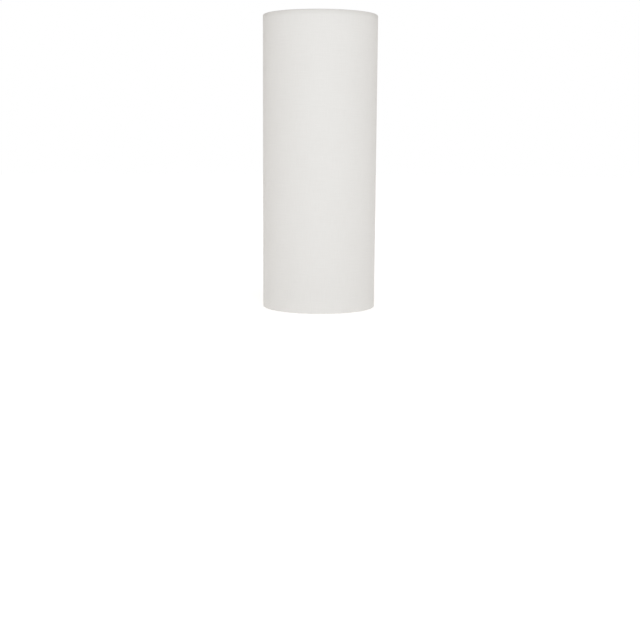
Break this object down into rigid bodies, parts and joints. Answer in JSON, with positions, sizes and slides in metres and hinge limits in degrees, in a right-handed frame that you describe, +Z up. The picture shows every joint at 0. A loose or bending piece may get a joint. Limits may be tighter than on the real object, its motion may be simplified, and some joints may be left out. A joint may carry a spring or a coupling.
{
  "type": "lamp shade",
  "caption": "Tall cylindrical hard-back lamp shade: white linen on a styrene liner, edges rolled over wire rings, with a recessed washer spider inside the top.",
  "frame": {"origin": "middle of the bottom rim, on the plane the shade stands on", "axes": "+Z up along the shade's axis; +Y towards the lap in the cloth, which is at the back; +X to the right seen from the front"},
  "size_m": [0.3, 0.3013, 0.765],
  "materials": {
    "linen": "plain white linen weave, matte",
    "styrene": "white styrene sheet, low sheen",
    "tape": "self-adhesive tape, matte",
    "wire": "nickel-plated wire, satin"
  },
  "bodies": {
    "root": {"linen_cover": "linen", "styrene_liner": "styrene", "seam_tape": "tape", "top_ring_tape_1": "tape", "top_ring_tape_2": "tape", "top_ring_tape_3": "tape", "bottom_ring_tape": "tape", "top_ring": "wire", "bottom_ring": "wire", "spider_arm_1": "wire", "spider_arm_2": "wire", "spider_arm_3": "wire", "spider_washer": "wire"}
  },
  "joints": []
}
